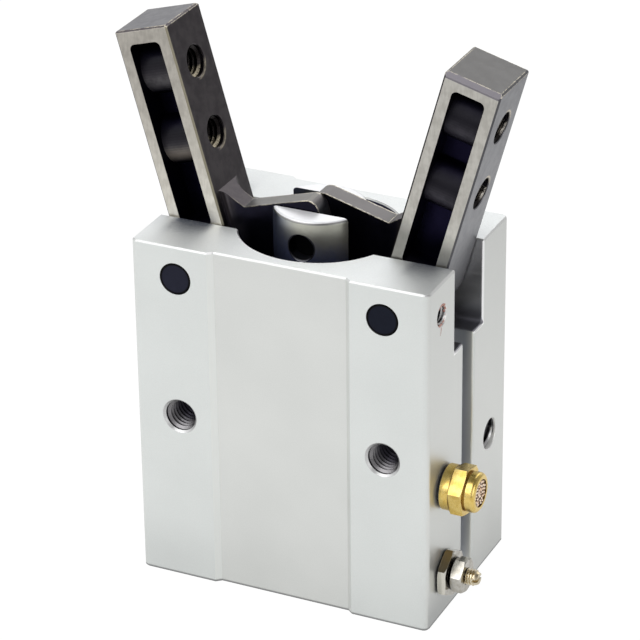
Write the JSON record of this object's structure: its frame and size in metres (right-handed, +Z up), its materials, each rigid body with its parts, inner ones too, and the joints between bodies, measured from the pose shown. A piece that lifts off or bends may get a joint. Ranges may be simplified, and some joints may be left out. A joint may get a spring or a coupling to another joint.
{
  "type": "pneumatic angular gripper",
  "caption": "Compact air-driven angular gripper: block housing with sensor grooves, slotted piston rod and bell-crank fingers on flush pivot pins, with silencer and throttle fittings.",
  "frame": {"origin": "centre of the housing's base", "axes": "+Z up along the piston rod to the finger tips, X from the left finger to the right one, +Y from the front face to the back"},
  "size_m": [0.0622, 0.0308, 0.088],
  "materials": {
    "anodised_aluminium": "satin, clear anodised",
    "turned_aluminium": "turned",
    "finger_steel": "browned, ground front faces",
    "dark_steel": "blackened",
    "rod_steel": "ground",
    "spring_steel": "drawn",
    "seal_rubber": "matt",
    "magnet_compound": "matt",
    "bush_bronze": "turned",
    "polished_brass": "polished",
    "sintered_bronze": "sintered, granular",
    "nickel_plate": "nickel plated"
  },
  "bodies": {
    "housing": {"housing": "anodised_aluminium", "end_cap": "turned_aluminium", "rod_gland": "turned_aluminium", "left_pivot_pin": "dark_steel", "right_pivot_pin": "dark_steel", "pin_set_screws": "dark_steel", "return_spring": "spring_steel", "end_cap_snap_ring": "spring_steel", "gland_snap_ring": "spring_steel", "channel_plug": "spring_steel", "end_cap_oring": "seal_rubber", "lower_bumper": "seal_rubber", "upper_bumper": "seal_rubber", "gland_oring": "seal_rubber", "rod_seal": "seal_rubber", "silencer_seal": "seal_rubber", "throttle_seal": "seal_rubber", "rod_bush": "bush_bronze", "silencer_body": "polished_brass", "silencer_insert": "sintered_bronze", "throttle_body": "nickel_plate", "throttle_lock_nut": "nickel_plate"},
    "piston": {"piston_rod": "rod_steel", "drive_pin": "dark_steel", "piston": "turned_aluminium", "piston_seal": "seal_rubber", "piston_magnet": "magnet_compound", "piston_screw": "dark_steel", "rod_oring": "seal_rubber"},
    "left_finger": {"left_finger": "finger_steel"},
    "right_finger": {"right_finger": "finger_steel"},
    "throttle_needle": {"throttle_needle": "nickel_plate"}
  },
  "joints": [
    {"name": "piston_stroke", "type": "slide", "parent": "housing", "child": "piston", "axis": [0, 0, 1], "range_m": [-0.00627, 0], "stiffness_N_per_m": 1200, "springref_m": 0.004, "deforming": ["return_spring"]},
    {"name": "left_finger_pivot", "type": "hinge", "parent": "housing", "child": "left_finger", "pos_m": [-0.017, 0, 0.0518], "axis": [0, 1, 0], "range_deg": [0, 20.7]},
    {"name": "right_finger_pivot", "type": "hinge", "parent": "housing", "child": "right_finger", "pos_m": [0.017, 0, 0.0518], "axis": [0, -1, 0], "range_deg": [0, 20.7]},
    {"name": "needle_turn", "type": "hinge", "parent": "housing", "child": "throttle_needle", "pos_m": [0.0244, -0.0089, 0.0074], "axis": [1, 0, 0], "range_deg": [-450, 450]}
  ],
  "couplings": [
    {"joint": "left_finger_pivot", "follows": "piston_stroke", "rad_per_m": -57.658},
    {"joint": "right_finger_pivot", "follows": "piston_stroke", "rad_per_m": -57.658}
  ]
}
